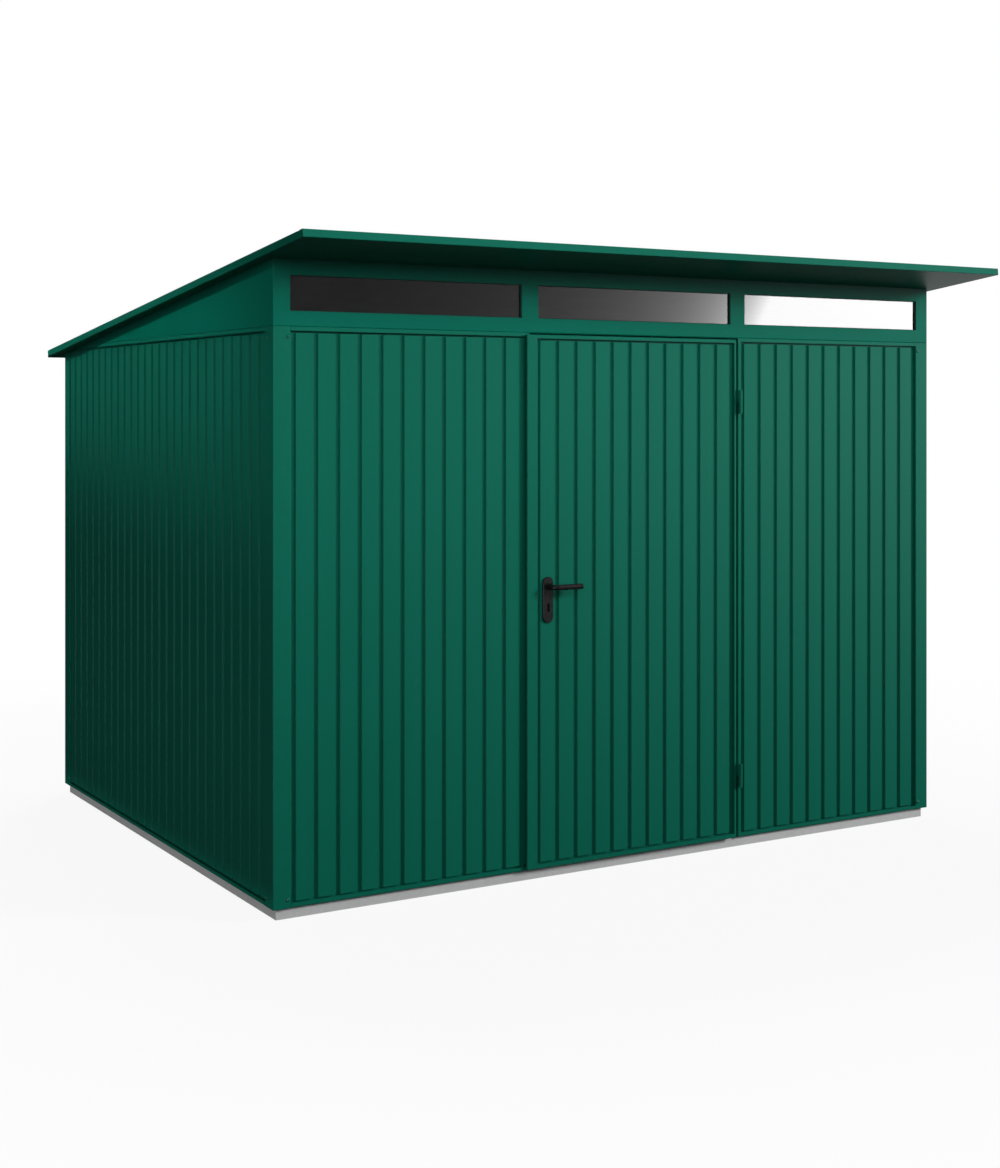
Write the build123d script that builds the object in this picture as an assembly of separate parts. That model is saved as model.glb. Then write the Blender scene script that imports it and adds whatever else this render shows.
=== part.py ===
"""Steel garden shed: ribbed sheet walls, mono-pitch roof, three clerestory windows, one hinged door.

Millimetres, +Z up, +X to the right along the front, +Y to the back. The origin is on the
ground under the middle of the wall footprint. Folded sections are drawn as depth inwards
from a wall's outer face and height, and sheets as length along the wall and depth.
"""
import os
from math import asin, atan2, cos, degrees, radians, tan
from build123d import *

# Building
width = 3000
depth = 2350
seam_height = 2010.5
header_rise = 228.5
roof_pitch = 6.27

# Gauges of the folded frame, the ribbed sheets and the roof trims
frame_gauge = 1.5
sheet_gauge = 1.0
trim_gauge = 1.2

# Inside radius of the folds
fold_inside = 1.5

# Base frame and floor
base_height = 40
base_inset = 18
base_flange = 60
base_gauge = 2
floor_gauge = 2
bearer_width = 60
bearer_count = 3

# Corner posts
post_front = 65
post_side = 70
post_return = 30

# Ribbed wall sheets
flat_recess = 5.5
rib_depth = 9
groove_width = 21.4
groove_slope = 3.6
bay_flat_count = 11
wall_pitch = 83.2

# Rails that hold the sheets
rail_depth = 60
sill_lip = 13.5
top_lip = 15
rail_leg = 55
sill_slot = 6
top_slot = 7

# Doorway
door_opening = 968
jamb_lip = 14
jamb_depth = 60
jamb_stop = 30

# Header and its windows
header_depth = 40
window_margin = 63
window_mullion = 71
window_mid_width = 892
window_bottom = 52.5
window_height = 121.5
window_reveal = 10
pane_gauge = 4
pane_lap = 10

# Gable panels
gable_depth = 40
gable_tip = 30

# Roof
front_overhang = 354
side_overhang = 50
back_overhang = 93
edge_height = 27
edge_return = 25
drip_height = 6
roof_rib_pitch = 205
roof_rib_crown = 35
roof_rib_depth = 18
roof_rib_slope = 15
sheet_side_gap = 2
purlin_height = 48
purlin_flange = 40
purlin_count = 2

# Door leaf
leaf_proud = 15
leaf_lap = 19
leaf_hinge_gap = 20
leaf_bottom_gap = 3.5
leaf_top_gap = 7.5
leaf_return = 9.5
leaf_depth = 35
lock_stile = 44.5
hinge_stile = 10
leaf_top_lip = 14
leaf_bottom_lip = 16
leaf_ledge = 20
leaf_slot = 7
leaf_margin = 15.5
leaf_flat_count = 11

# Hinges
knuckle_radius = 8
knuckle_height = 46
knuckle_gap = 0.6
pin_radius = 4
pin_clearance = 0.3
hinge_end_distance = 245
hinge_plate = 3
hinge_plate_depth = 60
barrel_clearance = 5

# Lever handle and lock
lever_height = 1076.5
plate_width = 44
plate_height = 170
plate_gauge = 8
plate_bevel = 2
plate_above_lever = 36.5
lock_drop = 77.5
lock_case_width = 50
lock_case_height = 190
lock_case_depth = 24
key_slot_width = 10
key_slot_tall = 31
key_slot_radius = 2
key_slot_depth = 8
lever_radius = 10.5
lever_length = 118
lever_reach = 46
lever_bend = 16
lever_dome = 2
lever_clearance = 0.5
collar_radius = 14
collar_height = 4
spindle_side = 8
spindle_clearance = 0.6

# Length by which every cut runs past what it cuts
overrun = 10

# Faces of the walls and lines that follow from the sizes above
left = -width / 2
right = width / 2
front = -depth / 2
back = depth / 2
front_height = seam_height + header_rise
slope = tan(radians(roof_pitch))
incline = cos(radians(roof_pitch))
opening_left = -door_opening / 2
opening_right = door_opening / 2
sheet_back = flat_recess + rib_depth + sheet_gauge
window_side_width = (width - 2 * window_margin - 2 * window_mullion - window_mid_width) / 2
roof_length = (front_overhang + depth + back_overhang) / incline
roof_half = width / 2 + side_overhang


def underside(y):
    """Height of the roof's underside at a place along Y."""
    return front_height - slope * (y - front)


back_height = underside(back)


def slab(x0, x1, y0, y1, z0, z1):
    """A block between two corners."""
    middle = Pos((x0 + x1) / 2, (y0 + y1) / 2, (z0 + z1) / 2)
    return middle * Box(x1 - x0, y1 - y0, z1 - z0)


def folded(outline, gauge, *folds):
    """A section of one gauge with folds, each given as an outer corner and the way inwards from it."""
    section = make_face(Polyline(*outline, close=True))
    for (x, y), (way_x, way_y) in folds:
        outer = section.vertices().sort_by_distance((x, y))[0]
        section = fillet(outer, fold_inside + gauge)
        inner = section.vertices().sort_by_distance((x + way_x * gauge, y + way_y * gauge))[0]
        section = fillet(inner, fold_inside)
    return section


def run(section, start, end):
    """A section of depth and height, run along X from start to end."""
    upright = Plane.YZ * section
    return Pos(start, 0, 0) * extrude(upright, end - start, dir=(1, 0, 0))


def on_roof(piece):
    """Places a piece drawn with Y down the roof's slope and Z out of its underside."""
    edge = front - front_overhang
    return Pos(0, edge, underside(edge)) * Rot(-roof_pitch, 0, 0) * piece


def above_roof(drop):
    """All the space above a plane that lies a drop below the roof's underside."""
    far = width + depth
    return on_roof(slab(-far, far, -far, far, -drop, far))


def on_left_wall(piece):
    """Places a piece drawn along X from the back and inwards along Y."""
    return Pos(left, back, 0) * Rot(0, 0, -90) * piece


def on_front_wall(piece):
    return Pos(left, front, 0) * piece


def on_back_wall(piece):
    return Pos(right, back, 0) * Rot(0, 0, 180) * piece


def mirrored(piece):
    return mirror(piece, about=Plane.YZ)


def rib_line(length, flats, crown, drop, run_in, inset):
    """One side of a ribbed sheet's section: flats at the crown level, grooves a drop deeper."""
    line = []
    for start, end in flats:
        if start > 0:
            line += [(start - run_in + inset, crown + drop), (start + inset, crown)]
        else:
            line += [(0, crown)]
        if end < length:
            line += [(end - inset, crown), (end + run_in - inset, crown + drop)]
        else:
            line += [(length, crown)]
    if flats[0][0] > 0:
        line = [(0, crown + drop)] + line
    if flats[-1][1] < length:
        line = line + [(length, crown + drop)]
    return line


def ribbed(length, flats, crown, drop, run_in, gauge):
    """The section of a ribbed sheet, of even gauge also on its slopes."""
    inset = gauge * tan(atan2(drop, run_in) / 2)
    outer = rib_line(length, flats, crown, drop, run_in, 0)
    inner = rib_line(length, flats, crown + gauge, drop, run_in, inset)
    return make_face(Polyline(*outer, *reversed(inner), close=True))


def wall_sheet(length, flats, bottom, top):
    section = ribbed(length, flats, flat_recess, rib_depth, groove_slope, sheet_gauge)
    return Pos(0, 0, bottom) * extrude(section, top - bottom, dir=(0, 0, 1))


def even_flats(first, pitch, flat, count):
    return [(first + i * pitch, first + i * pitch + flat) for i in range(count)]


parts = {}

# Base frame: galvanised channels, open to the inside, with folded ends at the front and back
base_channel = [
    (base_inset, 0),
    (base_inset + base_flange, 0),
    (base_inset + base_flange, base_gauge),
    (base_inset + base_gauge, base_gauge),
    (base_inset + base_gauge, base_height - base_gauge),
    (base_inset + base_flange, base_height - base_gauge),
    (base_inset + base_flange, base_height),
    (base_inset, base_height),
]
base_inner = base_inset + base_flange
base_section = folded(base_channel, base_gauge)
base_front = run(base_section, base_inset, width - base_inset)
for end in (base_inset, width - base_inset - base_gauge):
    base_front += slab(end, end + base_gauge, base_inset, base_inner, 0, base_height)
base_side = run(base_section, base_inner, depth - base_inner)
parts["base_rail_front"] = on_front_wall(base_front)
parts["base_rail_back"] = on_back_wall(base_front)
parts["base_rail_left"] = on_left_wall(base_side)
parts["base_rail_right"] = mirrored(parts["base_rail_left"])

# Floor: steel deck on box bearers between the base rails
deck_bottom = base_height - floor_gauge
floor_half = width / 2 - base_inner
floor_front = front + base_inner
floor_back = back - base_inner
bearer_pitch = 2 * floor_half / bearer_count
bearers = []
for i in range(bearer_count):
    middle = (i - (bearer_count - 1) / 2) * bearer_pitch
    half = bearer_width / 2
    bearer = slab(middle - half, middle + half, floor_front, floor_back, 0, deck_bottom)
    bore_half = half - base_gauge
    bearer -= slab(
        middle - bore_half,
        middle + bore_half,
        floor_front - overrun,
        floor_back + overrun,
        base_gauge,
        deck_bottom - base_gauge,
    )
    bearers.append(bearer)
parts["floor_bearers"] = Compound(children=bearers)
parts["floor_deck"] = slab(-floor_half, floor_half, floor_front, floor_back, deck_bottom, base_height)

# Corner posts: folded angles with a return along each edge
post_outline = [
    (post_front, post_return),
    (post_front, 0),
    (0, 0),
    (0, post_side),
    (post_return, post_side),
    (post_return, post_side - frame_gauge),
    (frame_gauge, post_side - frame_gauge),
    (frame_gauge, frame_gauge),
    (post_front - frame_gauge, frame_gauge),
    (post_front - frame_gauge, post_return),
]
post_section = folded(
    post_outline,
    frame_gauge,
    ((post_front, 0), (-1, 1)),
    ((0, 0), (1, 1)),
    ((0, post_side), (1, -1)),
)


def corner_post(top):
    post = extrude(post_section, top - base_height, dir=(0, 0, 1))
    return on_front_wall(Pos(0, 0, base_height) * post)


parts["corner_post_front_left"] = corner_post(seam_height)
parts["corner_post_front_right"] = mirrored(parts["corner_post_front_left"])
tall_post = corner_post(underside(back - post_side) + overrun)
parts["corner_post_back_left"] = mirror(tall_post, about=Plane.XZ) - above_roof(0)
parts["corner_post_back_right"] = mirrored(parts["corner_post_back_left"])


def rail_section(foot, way, lip):
    """A rail with a front lip and an inner leg, standing (way 1) or hanging (way -1) at a height."""
    points = [
        (0, 0),
        (rail_depth, 0),
        (rail_depth, frame_gauge),
        (sheet_back + frame_gauge, frame_gauge),
        (sheet_back + frame_gauge, rail_leg),
        (sheet_back, rail_leg),
        (sheet_back, frame_gauge),
        (frame_gauge, frame_gauge),
        (frame_gauge, lip),
        (0, lip),
    ]
    outline = [(inwards, foot + way * up) for inwards, up in points]
    return folded(outline, frame_gauge, ((0, foot), (1, way)))


# Sill rails: they stand on the base and hold the feet of the wall sheets
bay_end = width / 2 + opening_left - jamb_lip
sill = rail_section(base_height, 1, sill_lip)
parts["sill_rail_front_left"] = on_front_wall(run(sill, post_front, bay_end))
parts["sill_rail_front_right"] = mirrored(parts["sill_rail_front_left"])
parts["sill_rail_left"] = on_left_wall(run(sill, post_side, depth - post_side))
parts["sill_rail_right"] = mirrored(parts["sill_rail_left"])
parts["sill_rail_back"] = on_back_wall(run(sill, post_front, width - post_front))

# Top rails: over the doorway the front one has neither lip nor leg, and a stop hangs from its inner edge
jamb_edge = width / 2 + opening_left
stop_edge = jamb_edge + jamb_stop
top = rail_section(seam_height, -1, top_lip)
top_front = run(top, post_front, width - post_front)
top_front -= slab(
    bay_end,
    width - bay_end,
    sheet_back,
    sheet_back + frame_gauge,
    seam_height - rail_leg - overrun,
    seam_height - frame_gauge,
)
top_front -= slab(
    jamb_edge,
    width - jamb_edge,
    -overrun,
    frame_gauge + fold_inside,
    seam_height - top_lip - overrun,
    seam_height - frame_gauge,
)
stop_face = rail_depth - frame_gauge
top_front += slab(jamb_edge, width - jamb_edge, stop_face, rail_depth, seam_height - top_lip, seam_height)
top_front += slab(stop_edge, width - stop_edge, stop_face, rail_depth, seam_height - jamb_stop, seam_height)
parts["top_rail_front"] = on_front_wall(top_front)
parts["top_rail_left"] = on_left_wall(run(top, post_side, depth - post_side)) - above_roof(0)
parts["top_rail_right"] = mirrored(parts["top_rail_left"])
top_back = rail_section(back_height, -1, top_lip)
parts["top_rail_back"] = on_back_wall(run(top_back, post_front, width - post_front))

# Door jambs: a narrow front lip beside the doorway and a stop that closes the gap behind the leaf
jamb_outline = [
    (bay_end, 0),
    (jamb_edge, 0),
    (jamb_edge, jamb_depth - frame_gauge),
    (stop_edge, jamb_depth - frame_gauge),
    (stop_edge, jamb_depth),
    (jamb_edge - frame_gauge, jamb_depth),
    (jamb_edge - frame_gauge, frame_gauge),
    (bay_end, frame_gauge),
]
jamb_section = folded(
    jamb_outline,
    frame_gauge,
    ((jamb_edge, 0), (-1, 1)),
    ((jamb_edge - frame_gauge, jamb_depth), (1, -1)),
)
jamb = extrude(jamb_section, seam_height - top_lip - base_height, dir=(0, 0, 1))
parts["door_jamb_left"] = on_front_wall(Pos(0, 0, base_height) * jamb)
parts["door_jamb_right"] = mirrored(parts["door_jamb_left"])

# Wall sheets: flats between narrow grooves, held by the legs of the rails behind their grooves
sheet_bottom = base_height + sill_lip + sill_slot
sheet_top = seam_height - top_lip - top_slot
bay_clear = bay_end - post_front
bay_pitch = (bay_clear - groove_width) / bay_flat_count
bay_length = jamb_edge - frame_gauge - post_front
bay_ribs = even_flats(groove_width, bay_pitch, bay_pitch - groove_width, bay_flat_count)
bay_sheet = Pos(post_front, 0, 0) * wall_sheet(bay_length, bay_ribs, sheet_bottom, sheet_top)
parts["wall_sheet_front_left"] = on_front_wall(bay_sheet)
parts["wall_sheet_front_right"] = mirrored(parts["wall_sheet_front_left"])

side_length = depth - 2 * post_side
side_count = int(side_length / wall_pitch)
side_ribs = even_flats(0, wall_pitch, wall_pitch - groove_width, side_count)
if side_length - side_count * wall_pitch > 0:
    side_ribs.append((side_count * wall_pitch, side_length))
side_sheet = Pos(post_side, 0, 0) * wall_sheet(side_length, side_ribs, sheet_bottom, sheet_top)
parts["wall_sheet_left"] = on_left_wall(side_sheet) - above_roof(0)
parts["wall_sheet_right"] = mirrored(parts["wall_sheet_left"])

back_length = width - 2 * post_front
back_count = int((back_length - groove_width) / wall_pitch)
back_pitch = (back_length - groove_width) / back_count
back_ribs = even_flats(groove_width, back_pitch, back_pitch - groove_width, back_count)
back_top = back_height - top_lip - top_slot
back_sheet = Pos(post_front, 0, 0) * wall_sheet(back_length, back_ribs, sheet_bottom, back_top)
parts["wall_sheet_back"] = on_back_wall(back_sheet)

def rounded_front(block, radius):
    """Rounds a block's upright front edges, and its lower edges apart from the back one."""
    upright = block.edges().filter_by(Axis.Z).group_by(Axis.Y)[0]
    lower = block.edges().group_by(Axis.Z)[0].sort_by(Axis.Y)[:-1]
    return fillet(upright + lower, radius)


# Header: a folded panel over the whole front, with a return round each window
header_top = front_height + overrun
header_outside = slab(left, right, front, front + header_depth, seam_height, header_top)
header_inside = slab(
    left + frame_gauge,
    right - frame_gauge,
    front + frame_gauge,
    front + header_depth + overrun,
    seam_height + frame_gauge,
    header_top,
)
header = rounded_front(header_outside, fold_inside + frame_gauge) - above_roof(0)
header -= rounded_front(header_inside, fold_inside) - above_roof(frame_gauge)
pane_bottom = seam_height + window_bottom
pane_top = pane_bottom + window_height
window_edges = {}
window_left = left + window_margin
for name, span in (("left", window_side_width), ("middle", window_mid_width), ("right", window_side_width)):
    window_edges[name] = (window_left, window_left + span)
    window_left += span + window_mullion
for name, (x0, x1) in window_edges.items():
    header += slab(
        x0 - frame_gauge,
        x1 + frame_gauge,
        front,
        front + window_reveal,
        pane_bottom - frame_gauge,
        pane_top + frame_gauge,
    )
for name, (x0, x1) in window_edges.items():
    header -= slab(x0, x1, front - overrun, front + header_depth, pane_bottom, pane_top)
parts["header_panel"] = header
for name, (x0, x1) in window_edges.items():
    parts["window_pane_" + name] = slab(
        x0 - pane_lap,
        x1 + pane_lap,
        front + window_reveal,
        front + window_reveal + pane_gauge,
        pane_bottom - pane_lap,
        pane_top + pane_lap,
    )

def rounded_foot(block, radius):
    """Rounds the lower edge on a block's left side."""
    foot = block.edges().filter_by(Axis.Y).group_by(Axis.X)[0].group_by(Axis.Z)[0]
    return fillet(foot, radius)


# Gables: folded wedges on the side rails, up to the roof
gable_front = front + header_depth
gable_back = min(front + header_rise / slope - gable_tip, back - post_side)
gable_outside = slab(left, left + gable_depth, gable_front, gable_back, seam_height, header_top)
gable_inside = slab(
    left + frame_gauge,
    left + gable_depth + overrun,
    gable_front + frame_gauge,
    gable_back + overrun,
    seam_height + frame_gauge,
    header_top,
)
gable = rounded_foot(gable_outside, fold_inside + frame_gauge) - above_roof(0)
gable -= rounded_foot(gable_inside, fold_inside) - above_roof(frame_gauge)
parts["gable_left"] = gable
parts["gable_right"] = mirrored(gable)

# Roof trims: folded edges whose lower flanges lie on the walls and carry the sheet
soffit_end = (front_overhang + header_depth) / incline
verge_flange = side_overhang + gable_depth
fascia_outline = [
    (0, 0),
    (soffit_end, 0),
    (soffit_end, trim_gauge),
    (trim_gauge, trim_gauge),
    (trim_gauge, edge_height - trim_gauge),
    (edge_return, edge_height - trim_gauge),
    (edge_return, edge_height),
    (0, edge_height),
]
fascia = folded(fascia_outline, trim_gauge, ((0, 0), (1, 1)), ((0, edge_height), (1, -1)))
parts["roof_fascia_front"] = on_roof(run(fascia, -roof_half, roof_half))

eave_start = roof_length - (back_overhang + rail_depth) / incline
eave_outline = [
    (eave_start, 0),
    (roof_length - trim_gauge, 0),
    (roof_length - trim_gauge, -drip_height),
    (roof_length, -drip_height),
    (roof_length, trim_gauge),
    (eave_start, trim_gauge),
]
parts["roof_eave_back"] = on_roof(run(folded(eave_outline, trim_gauge), -roof_half, roof_half))

verge_outline = [
    (0, trim_gauge),
    (0, edge_height),
    (edge_return, edge_height),
    (edge_return, edge_height - trim_gauge),
    (trim_gauge, edge_height - trim_gauge),
    (trim_gauge, trim_gauge),
]
verge_section = Rot(90, 0, 0) * folded(verge_outline, trim_gauge, ((0, edge_height), (1, -1)))
verge = Pos(0, edge_return, 0) * extrude(verge_section, roof_length - edge_return, dir=(0, 1, 0))
sheet_start = trim_gauge + fold_inside
verge += slab(0, trim_gauge, sheet_start, edge_return, trim_gauge, edge_height - trim_gauge)
verge += slab(0, trim_gauge, trim_gauge, sheet_start, sheet_start, edge_height - sheet_start)
verge += slab(0, verge_flange, soffit_end, eave_start, 0, trim_gauge)
parts["roof_verge_left"] = on_roof(Pos(-roof_half, 0, 0) * verge)
parts["roof_verge_right"] = mirrored(parts["roof_verge_left"])

# Roof sheet: raised ribs that run down the slope, on the flanges of the trims
sheet_half = roof_half - trim_gauge - sheet_side_gap
sheet_width = 2 * sheet_half
roof_count = int(sheet_width / roof_rib_pitch)
first_crown = (sheet_width - (roof_count - 1) * roof_rib_pitch - roof_rib_crown) / 2
crowns = even_flats(first_crown, roof_rib_pitch, roof_rib_crown, roof_count)
roof_section = ribbed(sheet_width, crowns, 0, roof_rib_depth, roof_rib_slope, sheet_gauge)
roof_section = Rot(-90, 0, 0) * roof_section
crown_top = trim_gauge + sheet_gauge + roof_rib_depth
roof_sheet = extrude(roof_section, roof_length - sheet_start, dir=(0, 1, 0))
parts["roof_sheet"] = on_roof(Pos(-sheet_half, sheet_start, crown_top) * roof_sheet)

# Roof purlins: channels from gable to gable under the sheet
purlin_outline = [
    (0, trim_gauge),
    (purlin_flange, trim_gauge),
    (purlin_flange, trim_gauge - frame_gauge),
    (frame_gauge, trim_gauge - frame_gauge),
    (frame_gauge, trim_gauge + frame_gauge - purlin_height),
    (purlin_flange, trim_gauge + frame_gauge - purlin_height),
    (purlin_flange, trim_gauge - purlin_height),
    (0, trim_gauge - purlin_height),
]
purlins = []
for i in range(purlin_count):
    place = front_overhang / incline + (i + 1) * depth / incline / (purlin_count + 1)
    purlin = run(folded(purlin_outline, frame_gauge), left + gable_depth, right - gable_depth)
    purlins.append(on_roof(Pos(0, place, 0) * purlin))
parts["roof_purlins"] = Compound(children=purlins)

# Door leaf: a folded frame with lips at the front, returned edges and a ledge behind the sheet
leaf_face = front - leaf_proud
leaf_left = opening_left - leaf_lap
leaf_right = opening_right - leaf_hinge_gap
leaf_bottom = base_height + leaf_bottom_gap
leaf_top = seam_height - leaf_top_gap
inner_left = leaf_left + lock_stile
inner_right = leaf_right - hinge_stile
inner_bottom = leaf_bottom + leaf_bottom_lip
inner_top = leaf_top - leaf_top_lip
ledge_face = leaf_face + sheet_back


def ring(outer, inner, y0, y1):
    """A flat frame between an outer and an inner rectangle of X and Z."""
    x0, x1, z0, z1 = outer
    u0, u1, w0, w1 = inner
    return slab(x0, x1, y0, y1, z0, z1) - slab(u0, u1, y0 - overrun, y1 + overrun, w0, w1)


def grown(rectangle, by):
    x0, x1, z0, z1 = rectangle
    return (x0 - by, x1 + by, z0 - by, z1 + by)


def pillow(rectangle, y0, y1, radius):
    """A block over a rectangle of X and Z with its front edges rounded."""
    x0, x1, z0, z1 = rectangle
    block = slab(x0, x1, y0, y1, z0, z1)
    return fillet(block.edges().group_by(Axis.Y)[0], radius)


leaf_edge = (leaf_left, leaf_right, leaf_bottom, leaf_top)
leaf_inner = (inner_left, inner_right, inner_bottom, inner_top)
leaf_back = leaf_face + leaf_return
leaf_hollow = grown(leaf_edge, -frame_gauge)
door_frame = pillow(leaf_edge, leaf_face, leaf_back, fold_inside + frame_gauge)
door_frame -= pillow(leaf_hollow, leaf_face + frame_gauge, leaf_back + overrun, fold_inside)
door_frame -= slab(inner_left, inner_right, leaf_face - overrun, leaf_back, inner_bottom, inner_top)
door_frame += ring(grown(leaf_inner, frame_gauge), leaf_inner, leaf_face, leaf_face + leaf_depth)
door_frame += ring(leaf_inner, grown(leaf_inner, -leaf_ledge), ledge_face, ledge_face + frame_gauge)
parts["door_frame"] = door_frame

# Door sheet, with its first flat bored for the lock and the lever
infill_length = inner_right - inner_left
leaf_pitch = (infill_length - leaf_margin) / leaf_flat_count
leaf_ribs = even_flats(leaf_margin, leaf_pitch, leaf_pitch - groove_width, leaf_flat_count)
door_sheet = wall_sheet(infill_length, leaf_ribs, inner_bottom + leaf_slot, inner_top - leaf_slot)
door_sheet = Pos(inner_left, leaf_face, 0) * door_sheet
lock_x = inner_left + leaf_margin + (leaf_pitch - groove_width) / 2
lock_z = lever_height - lock_drop
flat_face = leaf_face + flat_recess
flat_back = flat_face + sheet_gauge
case_back = flat_back + lock_case_depth
plate_face = flat_face - plate_gauge
inner_plate_face = case_back + plate_gauge
plate_middle = lever_height + plate_above_lever - plate_height / 2


def across(face, x, z, y0, y1):
    """A face drawn in X and Z, run through the leaf from y0 to y1."""
    upright = Rot(90, 0, 0) * face
    return Pos(x, y1, z) * extrude(upright, y1 - y0, dir=(0, -1, 0))


key_slot = RectangleRounded(key_slot_width, key_slot_tall, key_slot_radius)
key_slots = across(key_slot, lock_x, lock_z, plate_face - overrun, flat_back + key_slot_depth)
key_slots += across(key_slot, lock_x, lock_z, case_back - key_slot_depth, inner_plate_face + overrun)
spindle_hole = Circle(spindle_side / 2**0.5 + spindle_clearance)
spindle_bore = across(spindle_hole, lock_x, lever_height, flat_face - overrun, case_back + overrun)
parts["door_sheet"] = door_sheet - key_slots - spindle_bore

lock_case = slab(
    lock_x - lock_case_width / 2,
    lock_x + lock_case_width / 2,
    flat_back,
    case_back,
    plate_middle - lock_case_height / 2,
    plate_middle + lock_case_height / 2,
)
parts["lock_case"] = lock_case - key_slots - spindle_bore

# Handle plates with round ends and a collar for the lever, one on the sheet and one on the lock case
plate_shape = SlotOverall(plate_height, plate_width, rotation=90)
collar = Circle(collar_radius)
lever_hole = across(
    Circle(lever_radius + lever_clearance),
    lock_x,
    lever_height,
    plate_face - collar_height - overrun,
    inner_plate_face + collar_height + overrun,
)
outer_plate = across(plate_shape, lock_x, plate_middle, plate_face, flat_face)
outer_plate = chamfer(outer_plate.edges().group_by(Axis.Y)[0], plate_bevel)
outer_plate += across(collar, lock_x, lever_height, plate_face - collar_height, flat_face)
parts["handle_plate_outer"] = outer_plate - key_slots - lever_hole
inner_plate = across(plate_shape, lock_x, plate_middle, case_back, inner_plate_face)
inner_plate = chamfer(inner_plate.edges().group_by(Axis.Y)[-1], plate_bevel)
inner_plate += across(collar, lock_x, lever_height, case_back, inner_plate_face + collar_height)
parts["handle_plate_inner"] = inner_plate - key_slots - lever_hole


def lever_arm(foot, bend_y):
    """A round bar that leaves the plate along Y, bends to the hinge side and ends in a low dome."""
    path = FilletPolyline((0, foot, 0), (0, bend_y, 0), (lever_length, bend_y, 0), radius=lever_bend)
    bar = sweep(Plane(path @ 0, z_dir=path % 0) * Circle(lever_radius), path=path)
    ball_radius = (lever_radius**2 + lever_dome**2) / (2 * lever_dome)
    dome_angle = degrees(asin(lever_radius / ball_radius))
    crown = CenterArc((lever_dome - ball_radius, 0), ball_radius, 0, dome_angle)
    half_dome = make_face([crown, Line(crown @ 1, (0, 0)), Line((0, 0), crown @ 0)])
    return bar + Pos(lever_length, bend_y, 0) * revolve(half_dome, axis=Axis.X)


# Levers: two bent bars on one square spindle
lever_foot = flat_face - lever_clearance
inner_foot = case_back + lever_clearance
lever = across(Rectangle(spindle_side, spindle_side), 0, 0, lever_foot, inner_foot)
lever += lever_arm(lever_foot, plate_face - lever_reach)
lever += lever_arm(inner_foot, inner_plate_face + lever_reach)
parts["lever_pair"] = Pos(lock_x, 0, lever_height) * lever

# Hinges: barrels in front of the leaf, a pinned lower half on the jamb and a bored upper half on the leaf
axis_x = (leaf_right + opening_right) / 2
axis_y = leaf_face - barrel_clearance - knuckle_radius
post_halves = []
door_halves = []
for middle in (leaf_bottom + hinge_end_distance, leaf_top - hinge_end_distance):
    foot = middle - knuckle_height
    head = middle + knuckle_height
    post_half = Pos(axis_x, axis_y, (foot + middle) / 2) * Cylinder(knuckle_radius, knuckle_height)
    pin_top = head - knuckle_gap
    post_half += Pos(axis_x, axis_y, (foot + pin_top) / 2) * Cylinder(pin_radius, pin_top - foot)
    post_half += slab(axis_x, opening_right, axis_y, axis_y + hinge_plate, foot, middle)
    post_half += slab(
        opening_right - hinge_plate,
        opening_right,
        axis_y,
        axis_y + hinge_plate_depth,
        foot,
        middle,
    )
    post_halves.append(post_half)
    door_foot = middle + knuckle_gap
    knuckle = Cylinder(knuckle_radius, head - door_foot)
    knuckle -= Cylinder(pin_radius + pin_clearance, knuckle_height)
    flap = slab(leaf_right, axis_x, axis_y, axis_y + hinge_plate, door_foot, head)
    flap += slab(leaf_right, leaf_right + hinge_plate, axis_y, leaf_back, door_foot, head)
    flap -= Pos(axis_x, axis_y, middle) * Cylinder(knuckle_radius, 2 * head)
    door_halves.append(flap + Pos(axis_x, axis_y, (door_foot + head) / 2) * knuckle)
parts["hinge_post_halves"] = Compound(children=post_halves)
parts["hinge_door_halves"] = Compound(children=door_halves)

os.makedirs("parts", exist_ok=True)
for name, piece in parts.items():
    export_step(piece, os.path.join("parts", name + ".step"))
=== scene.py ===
import math
import bmesh
import bpy
from mathutils import Matrix, Vector


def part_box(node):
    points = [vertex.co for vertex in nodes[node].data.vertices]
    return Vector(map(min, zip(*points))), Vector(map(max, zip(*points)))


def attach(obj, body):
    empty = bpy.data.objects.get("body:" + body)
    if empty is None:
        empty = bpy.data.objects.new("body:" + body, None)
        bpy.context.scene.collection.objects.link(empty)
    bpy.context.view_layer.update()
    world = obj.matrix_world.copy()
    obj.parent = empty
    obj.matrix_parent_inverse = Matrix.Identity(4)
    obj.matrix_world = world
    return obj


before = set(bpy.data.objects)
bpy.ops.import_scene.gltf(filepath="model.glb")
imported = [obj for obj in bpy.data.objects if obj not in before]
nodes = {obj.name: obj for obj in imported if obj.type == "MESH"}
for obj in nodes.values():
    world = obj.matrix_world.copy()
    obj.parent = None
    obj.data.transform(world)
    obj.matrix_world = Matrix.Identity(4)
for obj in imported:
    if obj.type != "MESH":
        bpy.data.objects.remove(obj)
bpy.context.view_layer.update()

# Base and floor
# Galvanised channels carry the shed, with box bearers and a steel deck between them. The sheet is
# hot-dip zinc: crystals a thumbnail across, each at its own grey and its own shine.


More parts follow.
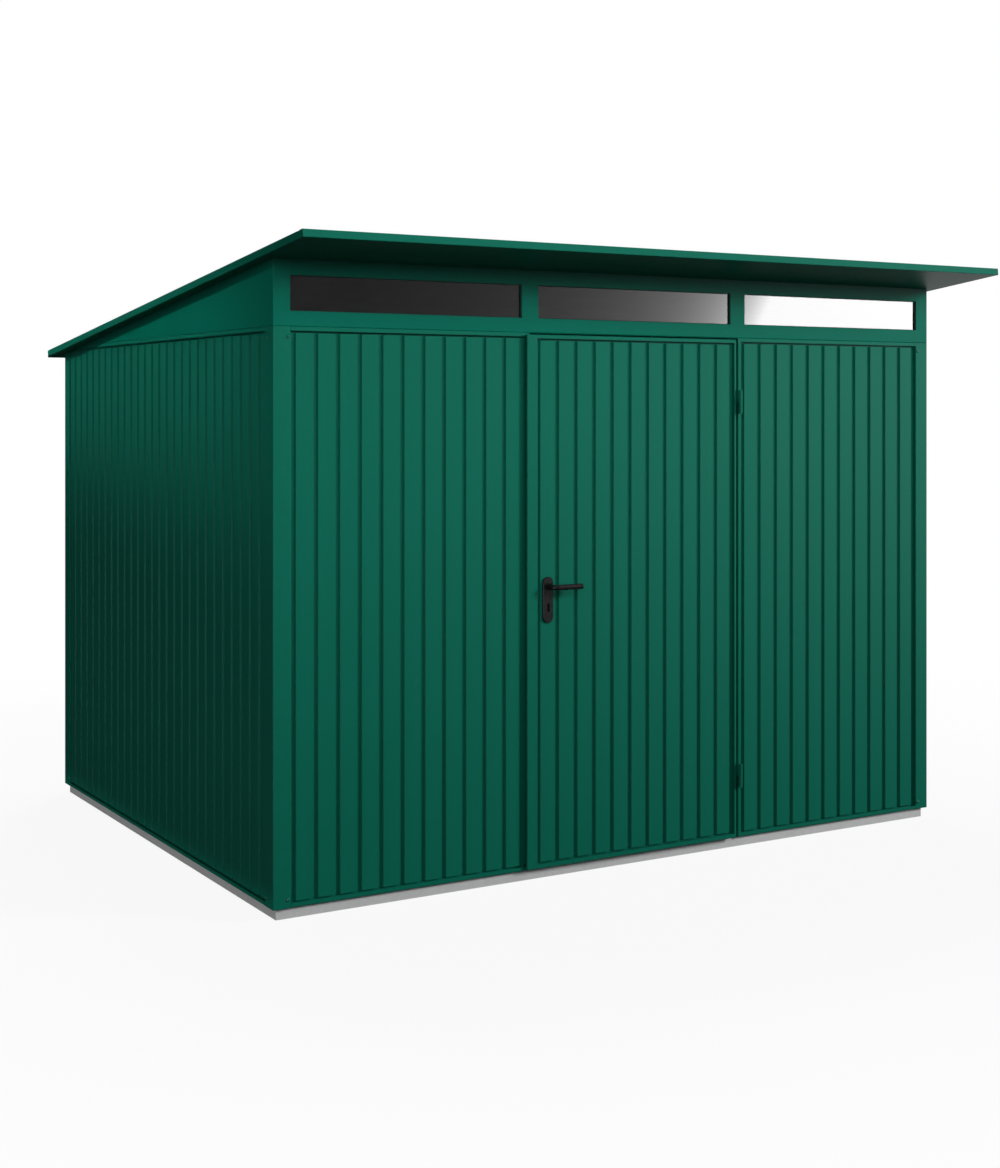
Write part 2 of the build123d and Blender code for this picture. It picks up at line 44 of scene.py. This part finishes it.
class Wire:
    """One output of a finish's nodes. Arithmetic on wires adds the Math nodes that work it out."""

    def __init__(self, tree, socket=None):
        self.tree = tree
        self.socket = socket

    def node(self, kind, settings=None, sockets=None, out=0):
        """Adds a node: its settings first, then a value or a wire for each socket. Gives one output."""
        made = self.tree.nodes.new(kind)
        for name, value in (settings or {}).items():
            setattr(made, name, value)
        for name, value in (sockets or {}).items():
            if isinstance(value, Wire):
                self.tree.links.new(value.socket, made.inputs[name])
            else:
                made.inputs[name].default_value = value
        return Wire(self.tree, made.outputs[out] if len(made.outputs) else None)

    def arithmetic(self, operation, first, second):
        """Adds a Math node for two values, wires or numbers."""
        return self.node("ShaderNodeMath", {"operation": operation}, {0: first, 1: second})

    def __add__(self, other):
        return self.arithmetic("ADD", self, other)

    def __radd__(self, other):
        return self.arithmetic("ADD", other, self)

    def __sub__(self, other):
        return self.arithmetic("SUBTRACT", self, other)

    def __rsub__(self, other):
        return self.arithmetic("SUBTRACT", other, self)

    def __mul__(self, other):
        return self.arithmetic("MULTIPLY", self, other)

    def __rmul__(self, other):
        return self.arithmetic("MULTIPLY", other, self)

    def __pow__(self, other):
        return self.arithmetic("POWER", self, other)

    def __rpow__(self, other):
        return self.arithmetic("POWER", other, self)


def new_finish(name):
    """An empty node material and a wire into its tree."""
    finish = bpy.data.materials.new(name)
    finish.use_nodes = True
    finish.node_tree.nodes.clear()
    return finish, Wire(finish.node_tree)


def mixed(share, low, high):
    """A colour between two, by a share from 0 to 1. A Mix node's colours are its sockets 6 and 7."""
    return share.node("ShaderNodeMix", {"data_type": "RGBA"}, {0: share, 6: low, 7: high}, out=2)


def clouds(place, scale, detail=2.0, stretch=None):
    """Soft noise from 0 to 1 on a place, drawn out along an axis where a stretch is given."""
    if stretch:
        place = place.node("ShaderNodeMapping", {}, {"Vector": place, "Scale": stretch})
    return place.node("ShaderNodeTexNoise", {}, {"Vector": place, "Scale": scale, "Detail": detail})


def close_finish(wires, shader):
    """Leads a shader to the finish's output."""
    wires.node("ShaderNodeOutputMaterial", {}, {"Surface": shader})


def give_finish(finish, *names):
    """Puts a finish on CAD nodes, in place of the plain one that they came with."""
    for name in names:
        nodes[name].data.materials.clear()
        nodes[name].data.materials.append(finish)


zinc_dark = (0.60, 0.605, 0.61, 1)
zinc_light = (0.68, 0.685, 0.69, 1)
crystals_per_metre = 80
crystal_share = 0.5
stain_scale = 14
stain_share = 0.6
zinc_roughness = 0.46
zinc_roughness_spread = 0.10
zinc_metal_share = 0.10

zinc, wires = new_finish("hot_dip_zinc")
place = wires.node("ShaderNodeTexCoord", out="Object")
crystal = wires.node(
    "ShaderNodeTexVoronoi", {}, {"Vector": place, "Scale": crystals_per_metre}, out="Color"
)
crystal_tone = wires.node("ShaderNodeSeparateColor", {}, {"Color": crystal}, out="Red")
crystal_shine = wires.node("ShaderNodeSeparateColor", {}, {"Color": crystal}, out="Green")
stain = clouds(place, stain_scale, detail=4.0)
close_finish(wires, wires.node("ShaderNodeBsdfPrincipled", {}, {
    "Base Color": mixed(crystal_tone * crystal_share + stain * stain_share, zinc_dark, zinc_light),
    "Metallic": zinc_metal_share,
    "Roughness": crystal_shine * zinc_roughness_spread + zinc_roughness,
}))
give_finish(
    zinc,
    "base_rail_front",
    "base_rail_back",
    "base_rail_left",
    "base_rail_right",
    "floor_bearers",
    "floor_deck",
)

# Posts, rails and jambs
# Folded steel sections, powder-coated green in a satin coat with a faint orange peel. Each post is
# held by a domed screw near its top and its foot, on both of its faces.
tone_scale = 1.1
streak_scale = 24
mottle_scale = 38
tone_share = 0.45
streak_share = 0.35
mottle_share = 0.20
dark_tone_share = 0.88
light_tone_share = 1.10
peel_scale = 320
peel_height = 0.00002
buckle_scale = 2.6
buckle_height = 0.0008
fold_round = 0.0015
coat_roughness = 0.40
mottle_roughness = 0.08
streak_roughness = 0.06
coat_shine = 0.10


def steel_paint(name, colour, streak_axis=None, roughness=coat_roughness, shine=coat_shine):
    """Satin powder coat: broad tone, faint streaks along the rolling, orange peel and soft buckles."""
    finish, wires = new_finish(name)
    place = wires.node("ShaderNodeTexCoord", out="Object")
    tone = clouds(place, tone_scale)
    mottle = clouds(place, mottle_scale, detail=3.0)
    streaks = clouds(place, streak_scale, stretch=streak_axis) if streak_axis else mottle
    peel = clouds(place, peel_scale)
    buckle = clouds(place, buckle_scale)
    shade = tone * tone_share + streaks * streak_share + mottle * mottle_share
    dark = [channel * dark_tone_share for channel in colour] + [1]
    light = [channel * light_tone_share for channel in colour] + [1]
    fold = wires.node("ShaderNodeBevel", {"samples": 4}, {"Radius": fold_round})
    bump = wires.node("ShaderNodeBump", {}, {
        "Strength": 1.0,
        "Distance": 1.0,
        "Height": peel * peel_height + buckle * buckle_height,
        "Normal": fold,
    })
    close_finish(wires, wires.node("ShaderNodeBsdfPrincipled", {}, {
        "Base Color": mixed(shade, dark, light),
        "Roughness": mottle * mottle_roughness + streaks * streak_roughness + roughness,
        "Specular IOR Level": shine,
        "Normal": bump,
    }))
    return finish


moss_green = (0.0035, 0.140, 0.092)
frame_paint = steel_paint("frame_paint", moss_green)
post_names = [f"corner_post_{end}_{side}" for end in ("front", "back") for side in ("left", "right")]
give_finish(
    frame_paint,
    *post_names,
    "sill_rail_front_left",
    "sill_rail_front_right",
    "sill_rail_left",
    "sill_rail_right",
    "sill_rail_back",
    "top_rail_front",
    "top_rail_left",
    "top_rail_right",
    "top_rail_back",
    "door_jamb_left",
    "door_jamb_right",
)


def pick_faces(piece, wanted):
    """In edit mode, selects the faces that pass a test and nothing else."""
    bpy.ops.mesh.select_all(action="DESELECT")
    bpy.ops.mesh.select_mode(type="FACE")
    mesh = bmesh.from_edit_mesh(piece.data)
    for face in mesh.faces:
        face.select_set(wanted(face))
    bmesh.update_edit_mesh(piece.data)


def pick_edges(piece, wanted):
    """In edit mode, selects the edges that pass a test and nothing else."""
    bpy.ops.mesh.select_all(action="DESELECT")
    bpy.ops.mesh.select_mode(type="EDGE")
    mesh = bmesh.from_edit_mesh(piece.data)
    for edge in mesh.edges:
        edge.select_set(wanted(edge))
    bmesh.update_edit_mesh(piece.data)


def finish_piece(piece, name, finish, smooth_degrees=40):
    """Ends the modelling of a piece: object mode, smooth shading, its name and its finish."""
    bpy.ops.object.mode_set(mode="OBJECT")
    bpy.ops.object.shade_smooth_by_angle(angle=math.radians(smooth_degrees))
    piece.name = name
    piece.data.name = name
    piece.data.materials.clear()
    piece.data.materials.append(finish)
    return piece


rim_share = 0.9
dome_share = 0.7
socket_depth_share = 0.5
level_normal = 0.99


def domed_head(name, radius, height, socket_radius, finish):
    """A screw's domed head with a socket in its crown, standing on the origin."""
    bpy.ops.object.select_all(action="DESELECT")
    bpy.ops.mesh.primitive_cylinder_add(vertices=12, radius=radius, depth=height)
    head = bpy.context.active_object
    bpy.ops.object.mode_set(mode="EDIT")
    bpy.ops.mesh.select_all(action="SELECT")
    bpy.ops.transform.translate(value=(0, 0, height / 2))
    pick_edges(head, lambda edge: min(v.co.z for v in edge.verts) > height * rim_share)
    bpy.ops.mesh.bevel(offset=height * dome_share, segments=3, affect="EDGES")
    pick_faces(head, lambda face: face.normal.z > level_normal)
    bpy.ops.mesh.inset(thickness=radius - height * dome_share - socket_radius)
    socket_depth = height * socket_depth_share
    bpy.ops.mesh.extrude_region_move(TRANSFORM_OT_translate={"value": (0, 0, -socket_depth)})
    return finish_piece(head, name, finish)


def standing_on(point, outwards):
    """The matrix that stands a piece's foot on a point, with its axis outwards."""
    turn = Vector(outwards).to_track_quat("Z", "Y").to_matrix().to_4x4()
    return Matrix.Translation(point) @ turn


def copies_of(pattern, name, places):
    """Copies of a modelled piece, each with its own mesh at a place, joined as one piece."""
    copies = []
    for place in places:
        copy = pattern.copy()
        copy.data = pattern.data.copy()
        copy.data.transform(place)
        bpy.context.collection.objects.link(copy)
        copies.append(copy)
    bpy.ops.object.select_all(action="DESELECT")
    for copy in copies:
        copy.select_set(True)
    bpy.context.view_layer.objects.active = copies[0]
    bpy.ops.object.join()
    bpy.data.objects.remove(pattern)
    joined = bpy.context.active_object
    joined.name = name
    joined.data.name = name
    return joined


screw_radius = 0.0062
screw_height = 0.0042
screw_socket = 0.0022
screw_from_edge = 0.010
screw_from_top = 0.036
screw_from_foot = 0.029
screw_roughness = 0.16
screw_shine = 0.6

screw_places = []
for name in post_names:
    low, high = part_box(name)
    outer_x = low.x if high.x < 0 else high.x
    outer_y = low.y if high.y < 0 else high.y
    face_x = high.x - screw_from_edge if high.x < 0 else low.x + screw_from_edge
    face_y = high.y - screw_from_edge if high.y < 0 else low.y + screw_from_edge
    for z in (high.z - screw_from_top, low.z + screw_from_foot):
        screw_places.append(standing_on((face_x, outer_y, z), (0, math.copysign(1, outer_y), 0)))
        screw_places.append(standing_on((outer_x, face_y, z), (math.copysign(1, outer_x), 0, 0)))
screw_paint = steel_paint("screw_paint", moss_green, roughness=screw_roughness, shine=screw_shine)
post_screw = domed_head("post_screw", screw_radius, screw_height, screw_socket, screw_paint)
post_screws = copies_of(post_screw, "post_screws", screw_places)
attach(post_screws, "shed")

# Wall sheets
# Coil-coated steel, rolled into flats and narrow grooves. The coat is thin and even, with faint
# streaks along the rolling, and the flats buckle a little between their grooves.
upright = (1.0, 1.0, 0.02)
sheet_paint = steel_paint("sheet_paint", moss_green, upright)
give_finish(
    sheet_paint,
    "wall_sheet_front_left",
    "wall_sheet_front_right",
    "wall_sheet_left",
    "wall_sheet_right",
    "wall_sheet_back",
)

# Header, gables and windows
# The header is one folded panel across the front with three long windows, and a folded wedge closes
# each side under the roof. Smoked panes sit behind the openings on a black rubber seal.
header_green = (0.0012, 0.140, 0.092)
header_shine = 0.07
header_paint = steel_paint("header_paint", header_green, shine=header_shine)
give_finish(header_paint, "header_panel", "gable_left", "gable_right")

smoke_grey = (0.07, 0.07, 0.072, 1)
glass_ior = 1.5
pane_coat_ior = 1.9
pane_coat_roughness = 0.02
smear_scale = 6
smear_roughness = 0.05

pane_glass, wires = new_finish("smoked_glass")
place = wires.node("ShaderNodeTexCoord", out="Object")
smear = clouds(place, smear_scale, detail=4.0)
close_finish(wires, wires.node("ShaderNodeBsdfPrincipled", {}, {
    "Base Color": smoke_grey,
    "Roughness": smear * smear_roughness,
    "IOR": glass_ior,
    "Transmission Weight": 1.0,
    "Coat Weight": 1.0,
    "Coat IOR": pane_coat_ior,
    "Coat Roughness": pane_coat_roughness,
}))
pane_names = ["window_pane_left", "window_pane_middle", "window_pane_right"]
give_finish(pane_glass, *pane_names)

rubber_dark = (0.008, 0.008, 0.008, 1)
rubber_light = (0.02, 0.02, 0.02, 1)
rubber_roughness = 0.6
bloom_scale = 70
bloom_roughness = 0.15

seal_black, wires = new_finish("seal_rubber")
place = wires.node("ShaderNodeTexCoord", out="Object")
bloom = clouds(place, bloom_scale, detail=3.0)
close_finish(wires, wires.node("ShaderNodeBsdfPrincipled", {}, {
    "Base Color": mixed(bloom, rubber_dark, rubber_light),
    "Roughness": bloom * bloom_roughness + rubber_roughness,
}))

pane_lap = 0.010
seal_gap = 0.0003
seal_width = 0.0020
seal_depth = 0.0045
seal_front_share = 0.9
seal_round = 0.0007
sharp_angle = math.radians(60)

for name in pane_names:
    low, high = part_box(name)
    middle = (low + high) / 2
    size_x = high.x - low.x - 2 * (pane_lap + seal_gap)
    size_z = high.z - low.z - 2 * (pane_lap + seal_gap)
    bpy.ops.object.select_all(action="DESELECT")
    bpy.ops.mesh.primitive_plane_add(size=1, rotation=(math.pi / 2, 0, 0))
    seal = bpy.context.active_object
    seal.scale = (size_x, size_z, 1)
    seal.location = (middle.x, low.y, middle.z)
    bpy.ops.object.transform_apply(location=True, rotation=True, scale=True)
    bpy.ops.object.mode_set(mode="EDIT")
    bpy.ops.mesh.select_all(action="SELECT")
    bpy.ops.mesh.inset(thickness=seal_width)
    bpy.ops.mesh.delete(type="FACE")
    bpy.ops.mesh.select_all(action="SELECT")
    bpy.ops.mesh.extrude_region_move(TRANSFORM_OT_translate={"value": (0, -seal_depth, 0)})
    bpy.ops.mesh.select_all(action="SELECT")
    bpy.ops.mesh.normals_make_consistent(inside=False)
    front_line = low.y - seal_depth * seal_front_share
    pick_edges(
        seal,
        lambda edge: max(v.co.y for v in edge.verts) < front_line
        and edge.calc_face_angle(0) > sharp_angle,
    )
    bpy.ops.mesh.bevel(offset=seal_round, segments=2, affect="EDGES")
    finish_piece(seal, name.replace("window_pane", "window_seal"), seal_black)
    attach(seal, "shed")

# Roof
# A ribbed sheet falls to the back between folded trims: a fascia with its soffit, two verges and a
# drip edge. Hexagon screws with washers hold the sheet's pans down over the rails and the purlins.
downhill = (1.0, 0.02, 1.0)
roof_paint = steel_paint("roof_paint", moss_green, downhill)
give_finish(
    roof_paint,
    "roof_fascia_front",
    "roof_eave_back",
    "roof_verge_left",
    "roof_verge_right",
    "roof_sheet",
)
give_finish(zinc, "roof_purlins")

washer_radius = 0.0080
washer_height = 0.0016
washer_round = 0.0006
hexagon_radius = 0.0046
hexagon_height = 0.0045
hexagon_round = 0.0009
pan_count = 14
pan_pitch = 0.205
purlin_flange = 0.040

bpy.ops.object.select_all(action="DESELECT")
bpy.ops.mesh.primitive_cylinder_add(vertices=16, radius=washer_radius, depth=washer_height)
roof_screw = bpy.context.active_object
bpy.ops.object.mode_set(mode="EDIT")
bpy.ops.mesh.select_all(action="SELECT")
bpy.ops.transform.translate(value=(0, 0, washer_height / 2))
pick_edges(roof_screw, lambda edge: min(v.co.z for v in edge.verts) > washer_height / 2)
bpy.ops.mesh.bevel(offset=washer_round, segments=2, affect="EDGES")
bpy.ops.mesh.select_all(action="DESELECT")
bpy.ops.mesh.primitive_cylinder_add(
    vertices=6,
    radius=hexagon_radius,
    depth=hexagon_height,
    location=(0, 0, washer_height / 2 + hexagon_height / 2),
)
pick_edges(roof_screw, lambda edge: min(v.co.z for v in edge.verts) > hexagon_height)
bpy.ops.mesh.bevel(offset=hexagon_round, segments=2, affect="EDGES")
finish_piece(roof_screw, "roof_screw", screw_paint)

sheet_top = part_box("roof_sheet")[1].z
first_purlin, last_purlin = (corner.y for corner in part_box("roof_purlins"))
roof_rows = [
    sum(corner.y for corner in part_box("top_rail_front")) / 2,
    first_purlin + purlin_flange / 2,
    last_purlin - purlin_flange / 2,
    sum(corner.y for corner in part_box("top_rail_back")) / 2,
]
bpy.context.view_layer.update()
roof_places = []
for row in roof_rows:
    for i in range(pan_count):
        above = (pan_pitch * (i - (pan_count - 1) / 2), row, sheet_top)
        _, point, outwards, _ = nodes["roof_sheet"].ray_cast(above, (0, 0, -1))
        roof_places.append(standing_on(point, outwards))
roof_screws = copies_of(roof_screw, "roof_screws", roof_places)
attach(roof_screws, "shed")

# Door leaf
# A folded frame with a ribbed sheet set in it, on two lift-off hinges. Frame and hinges have the
# powder coat of the posts, and the sheet has the coat of the walls.
give_finish(sheet_paint, "door_sheet")
give_finish(frame_paint, "door_frame", "hinge_post_halves", "hinge_door_halves")

# Lock and lever handles
# A mortice lock behind the sheet, two long plates with round ends and a bent bar on each side, all in
# a satin black coat with a fine grain.
grain_scale = 900
grain_height = 0.00002
rub_scale = 45
rub_roughness = 0.12


def black_coat(name, dark, light, roughness, shine):
    """A satin black coat with a fine grain, rubbed smoother in places."""
    finish, wires = new_finish(name)
    place = wires.node("ShaderNodeTexCoord", out="Object")
    grain = clouds(place, grain_scale, detail=1.0)
    rub = clouds(place, rub_scale, detail=3.0)
    bump = wires.node("ShaderNodeBump", {}, {
        "Strength": 1.0,
        "Distance": 1.0,
        "Height": grain * grain_height,
    })
    close_finish(wires, wires.node("ShaderNodeBsdfPrincipled", {}, {
        "Base Color": mixed(rub, dark, light),
        "Roughness": rub * rub_roughness + roughness,
        "Specular IOR Level": shine,
        "Normal": bump,
    }))
    return finish


handle_dark = (0.010, 0.010, 0.011, 1)
handle_light = (0.017, 0.017, 0.018, 1)
handle_roughness = 0.22
handle_shine = 0.18
handle_black = black_coat("handle_coat", handle_dark, handle_light, handle_roughness, handle_shine)
give_finish(handle_black, "handle_plate_outer", "handle_plate_inner", "lever_pair")

lock_dark = (0.03, 0.03, 0.032, 1)
lock_light = (0.05, 0.05, 0.052, 1)
lock_roughness = 0.35
lock_shine = 0.35
lock_black = black_coat("lock_coat", lock_dark, lock_light, lock_roughness, lock_shine)
give_finish(lock_black, "lock_case")

plate_gauge = 0.008
plate_screw_radius = 0.0042
plate_screw_height = 0.0022
plate_screw_socket = 0.0014
plate_screw_from_end = 0.013

low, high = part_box("handle_plate_inner")
plate_places = []
for z in (low.z + plate_screw_from_end, high.z - plate_screw_from_end):
    plate_places.append(standing_on(((low.x + high.x) / 2, low.y + plate_gauge, z), (0, 1, 0)))
plate_screw = domed_head(
    "plate_screw", plate_screw_radius, plate_screw_height, plate_screw_socket, handle_black
)
plate_screws = copies_of(plate_screw, "plate_screws", plate_places)
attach(plate_screws, "door")

# Studio
# A pale floor under a white surround. A large soft lamp stands to the right of the front and a fill to
# its left, strips light the front's top, the left wall's top and the base, and three more lamps light
# the left, the roof and the back. Dark cloths and bright panels show in gloss alone.


def ray_share(wires):
    """1 for the rays that show the surround: from the camera, off gloss and through glass."""
    seen = wires.node("ShaderNodeLightPath", out="Is Camera Ray")
    seen = seen + wires.node("ShaderNodeLightPath", out="Is Glossy Ray")
    return seen + wires.node("ShaderNodeLightPath", out="Is Transmission Ray")


def eased(value, start, end):
    """A smooth step from 0 at the start to 1 at the end."""
    steps = {"From Min": start, "From Max": end, "Value": value}
    return value.node("ShaderNodeMapRange", {"interpolation_type": "SMOOTHSTEP"}, steps)


def studio_plane(name, place, target, size, finish):
    """A flat panel at a place, turned to a target, that isn't part of the shed."""
    bpy.ops.object.select_all(action="DESELECT")
    bpy.ops.mesh.primitive_plane_add(size=1)
    plane = bpy.context.active_object
    plane.name = name
    plane.scale = (*size, 1)
    plane.location = place
    plane.rotation_euler = (Vector(target) - Vector(place)).to_track_quat("Z", "Y").to_euler()
    plane.data.materials.append(finish)
    return plane


def studio_lamp(name, place, target, size, watts, spread_degrees=180, roll_degrees=0):
    """A soft lamp turned to a target. It doesn't show in gloss, where the panels stand for it."""
    lamp = bpy.data.lights.new(name, "AREA")
    lamp.shape = "RECTANGLE"
    lamp.size, lamp.size_y = size
    lamp.energy = watts
    lamp.spread = math.radians(spread_degrees)
    holder = bpy.data.objects.new(name, lamp)
    bpy.context.collection.objects.link(holder)
    holder.location = place
    holder.rotation_euler = (Vector(target) - holder.location).to_track_quat("-Z", "Y").to_euler()
    holder.rotation_euler.rotate_axis("Z", math.radians(roll_degrees))
    holder.visible_camera = False
    holder.visible_glossy = False


pure_white = (1, 1, 1, 1)
floor_size = 120
floor_pale = (0.80, 0.80, 0.80, 1)
floor_grey = (0.05, 0.05, 0.05, 1)
floor_white_share = 0.91
white_reach = (2.2, 5.5)

floor_finish, wires = new_finish("studio_floor")
place = wires.node("ShaderNodeTexCoord", out="Object")
away = place.node("ShaderNodeVectorMath", {"operation": "LENGTH"}, {0: place}, out="Value")
white_share = eased(away, *white_reach) * (1 - floor_white_share) + floor_white_share
from_camera = wires.node("ShaderNodeLightPath", out="Is Camera Ray")
lit = wires.node("ShaderNodeBsdfDiffuse", {}, {"Color": mixed(from_camera, floor_grey, floor_pale)})
white = wires.node("ShaderNodeEmission", {}, {"Color": pure_white, "Strength": 1.0})
shown = ray_share(wires) * white_share
close_finish(wires, wires.node("ShaderNodeMixShader", {}, {0: shown, 1: lit, 2: white}))
floor = studio_plane(
    "studio_floor",
    place=(0, 0, 0),
    target=(0, 0, 1),
    size=(1, 1),
    finish=floor_finish,
)
# The floor's size is in its mesh, so that its finish measures in metres.
floor.data.transform(Matrix.Scale(floor_size, 4))

fill_level = 0.08
world = bpy.data.worlds.new("studio_surround")
bpy.context.scene.world = world
world.use_nodes = True
world.node_tree.nodes.clear()
wires = Wire(world.node_tree)
strength = ray_share(wires) * (1 - fill_level) + fill_level
surround = wires.node("ShaderNodeBackground", {}, {"Color": pure_white, "Strength": strength})
wires.node("ShaderNodeOutputWorld", {}, {"Surface": surround})

studio_lamp(
    "key_lamp",
    place=(18.0, -16.3, 9.75),
    target=(0.0, -1.2, 1.2),
    size=(4.0, 6.5),
    watts=4350,
)
studio_lamp(
    "fill_lamp",
    place=(-5.4, -9.0, 4.4),
    target=(-0.3, -1.2, 1.0),
    size=(5.0, 3.2),
    watts=205,
)
studio_lamp(
    "front_strip",
    place=(-0.3, -4.2, 3.0),
    target=(-0.3, -1.2, 1.85),
    size=(4.8, 0.8),
    watts=7.5,
    spread_degrees=50,
)
studio_lamp(
    "left_strip",
    place=(-5.9, 4.1, 4.6),
    target=(-1.5, 1.2, 1.93),
    size=(3.9, 0.3),
    watts=5.7,
    spread_degrees=11.5,
    roll_degrees=16.4,
)
studio_lamp(
    "base_strip",
    place=(-2.9, 0.0, 0.035),
    target=(-1.5, 0.0, 0.035),
    size=(2.5, 0.04),
    watts=0.10,
    spread_degrees=6,
)
studio_lamp(
    "left_lamp",
    place=(-8.0, 7.5, 2.0),
    target=(-1.5, 0.0, 1.0),
    size=(3.0, 3.0),
    watts=130,
)
studio_lamp(
    "roof_lamp",
    place=(0.0, 2.0, 7.5),
    target=(0.0, 0.0, 2.0),
    size=(4.0, 4.0),
    watts=300,
)
studio_lamp(
    "back_lamp",
    place=(5.5, 9.0, 3.5),
    target=(0.5, 0.0, 1.2),
    size=(4.0, 3.0),
    watts=500,
)

panel_size = (10.0, 2.4)
panel_level = 6.6
panel_lean = 0.58
panel_middle_share = 0.4
wide_glow_reach = 3.13
wide_glow_decades = 0.479
near_glow_reach = 3.42
near_glow_decades = 1.6

panel_finish, wires = new_finish("mirror_panel")
place = wires.node("ShaderNodeTexCoord", out="UV")
across = 1 - wires.node("ShaderNodeSeparateXYZ", {}, {"Vector": place}, out="X")
up = wires.node("ShaderNodeSeparateXYZ", {}, {"Vector": place}, out="Y")
along = across * panel_size[0] + (panel_middle_share - up) * (panel_size[1] * panel_lean)
wide_glow = 10 ** ((along - wide_glow_reach) * wide_glow_decades)
near_glow = 10 ** ((along - near_glow_reach) * near_glow_decades)
glow = wires.arithmetic("MINIMUM", wide_glow + near_glow, panel_level)
close_finish(wires, wires.node("ShaderNodeEmission", {}, {"Color": pure_white, "Strength": glow}))


def even_glow(name, level):
    """The finish of a cloth or panel that shows at one even level of light."""
    finish, wires = new_finish(name)
    close_finish(wires, wires.node("ShaderNodeEmission", {}, {"Color": pure_white, "Strength": level}))
    return finish


edge_level = 6.0
dark_level = 0.02
black_level = 0.003

edge_finish = even_glow("edge_panel", edge_level)
dark_cloth = even_glow("dark_cloth", dark_level)
black_cloth = even_glow("black_cloth", black_level)
mirrored_panels = [
    studio_plane(
        "mirror_panel",
        place=(7.0, -7.5, 2.8),
        target=(7.0, 0.0, 2.8),
        size=panel_size,
        finish=panel_finish,
    ),
    studio_plane(
        "edge_panel",
        place=(-3.7, -1.9, 0.6),
        target=(-1.5, -0.2, 0.6),
        size=(2.0, 1.2),
        finish=edge_finish,
    ),
    studio_plane(
        "front_cloth",
        place=(-4.0, -7.5, 5.0),
        target=(-4.0, 0.0, 5.0),
        size=(12.0, 10.0),
        finish=dark_cloth,
    ),
    studio_plane(
        "left_cloth",
        place=(-4.0, 14.0, 9.5),
        target=(0.0, 14.0, 9.5),
        size=(32.0, 20.0),
        finish=black_cloth,
    ),
    studio_plane(
        "back_cloth",
        place=(6.0, 16.0, 5.0),
        target=(6.0, 0.0, 5.0),
        size=(24.0, 10.0),
        finish=black_cloth,
    ),
    studio_plane(
        "floor_cloth",
        place=(-1.0, 4.5, 0.002),
        target=(-1.0, 4.5, 1.0),
        size=(10.0, 23.0),
        finish=dark_cloth,
    ),
]
for panel in mirrored_panels:
    panel.visible_camera = False
    panel.visible_diffuse = False
    panel.visible_shadow = False
    panel.visible_transmission = False

# Camera
# Level, at eye height, to the left of the front. The photograph is cropped from a taller frame, so
# the lens is shifted down.
photo_height = 1168
focal_pixels = 1748.4
horizon_pixel = 409.3
film_long_side = 36.0
camera_place = (-3.857, -6.624, 1.729)
camera_yaw = math.radians(30.79)

lens = bpy.data.cameras.new("photo_camera")
lens.sensor_width = film_long_side
lens.lens = film_long_side * focal_pixels / photo_height
lens.shift_y = (horizon_pixel - photo_height / 2) / photo_height
camera = bpy.data.objects.new("photo_camera", lens)
bpy.context.collection.objects.link(camera)
camera.location = camera_place
camera.rotation_euler = (math.pi / 2, 0, -camera_yaw)
bpy.context.scene.camera = camera
bpy.context.scene.view_settings.view_transform = "Standard"
